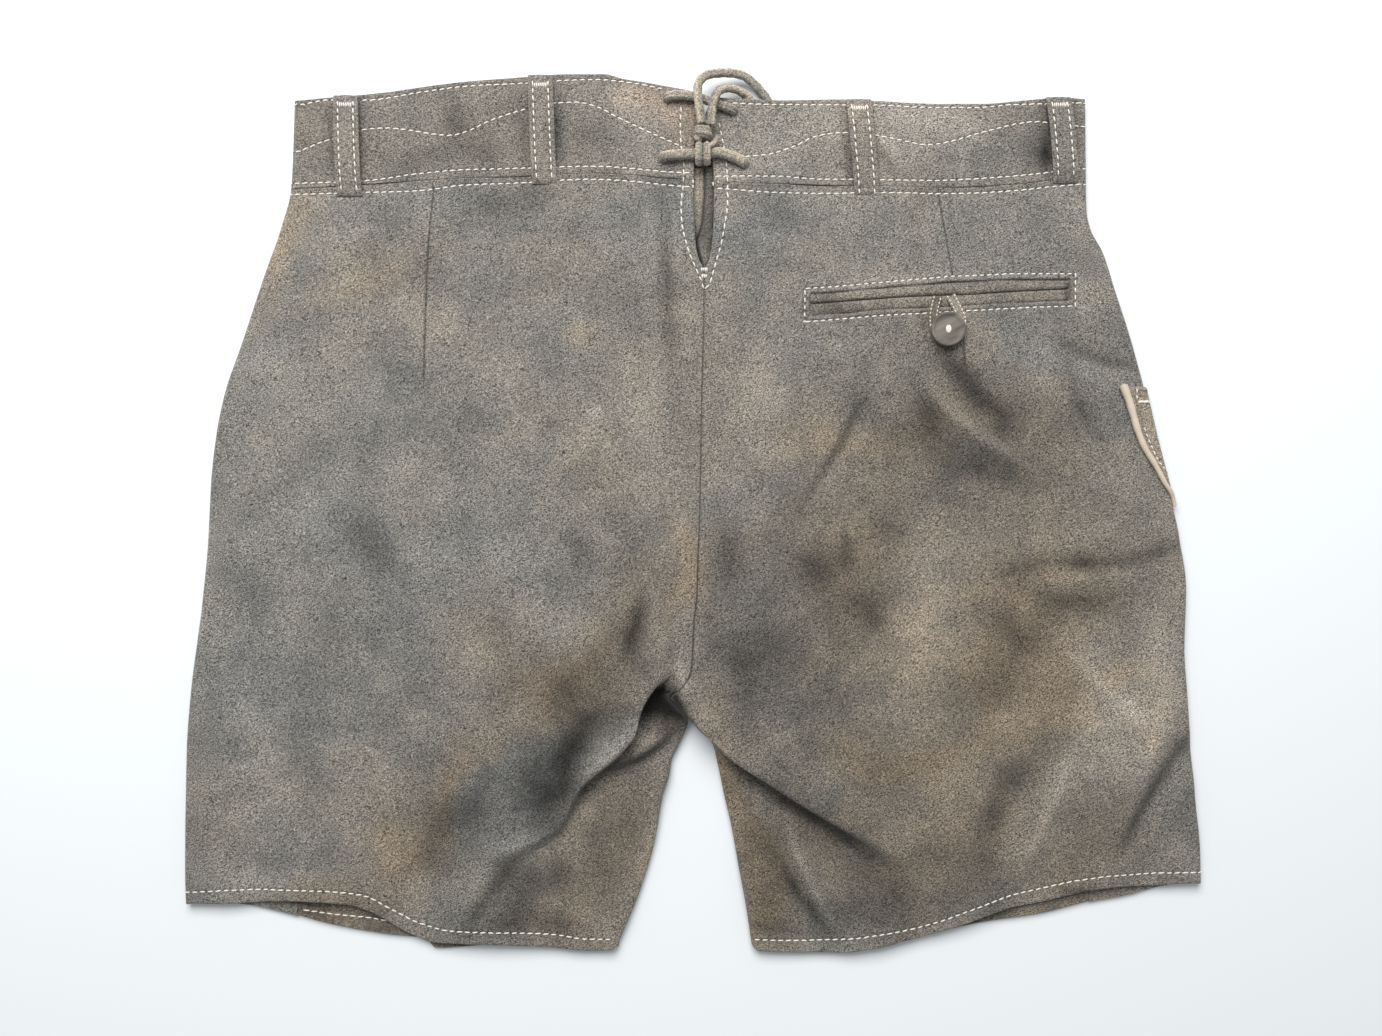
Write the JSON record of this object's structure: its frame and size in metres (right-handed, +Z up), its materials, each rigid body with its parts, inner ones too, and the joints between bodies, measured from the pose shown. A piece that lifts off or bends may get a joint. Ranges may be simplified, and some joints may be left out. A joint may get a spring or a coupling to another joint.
{
  "type": "short lederhosen laid flat",
  "caption": "Short suede lederhosen laid flat on their front, back up, with laced waistband, belt loops, buttoned back pocket and a knife pocket at the side.",
  "frame": {"origin": "middle of the flat underside, on the surface the garment lies on", "axes": "+X across the garment towards the wearer's right side, +Y from the hems up to the waist, +Z up from the surface out of the back of the garment"},
  "size_m": [0.5861, 0.5085, 0.0247],
  "materials": {
    "suede_grey": "matte grey suede with brown patches",
    "suede_brown": "matte brown-grey suede",
    "suede_tan": "matte tan suede",
    "piping_cream": "smooth pale leather",
    "horn_grey": "satin dark horn",
    "thread_cream": "matte cream thread"
  },
  "bodies": {
    "root": {"back_left": "suede_grey", "back_right": "suede_grey", "front_left": "suede_grey", "front_right": "suede_grey", "front_flap": "suede_grey", "waistband_left": "suede_grey", "waistband_right": "suede_grey", "belt_loop_1": "suede_grey", "belt_loop_2": "suede_grey", "belt_loop_3": "suede_grey", "belt_loop_4": "suede_grey", "slit_gusset": "suede_tan", "pocket_welt_upper": "suede_brown", "pocket_welt_lower": "suede_brown", "pocket_strap": "suede_tan", "pocket_button": "horn_grey", "knife_pocket": "suede_brown", "knife_pocket_piping": "piping_cream", "lace_lower": "suede_grey", "lace_upper": "suede_grey", "lace_wrap_1": "suede_grey", "lace_wrap_2": "suede_grey", "lace_end_outer": "suede_grey", "lace_end_inner": "suede_grey", "lace_knot": "suede_grey"}
  },
  "joints": []
}
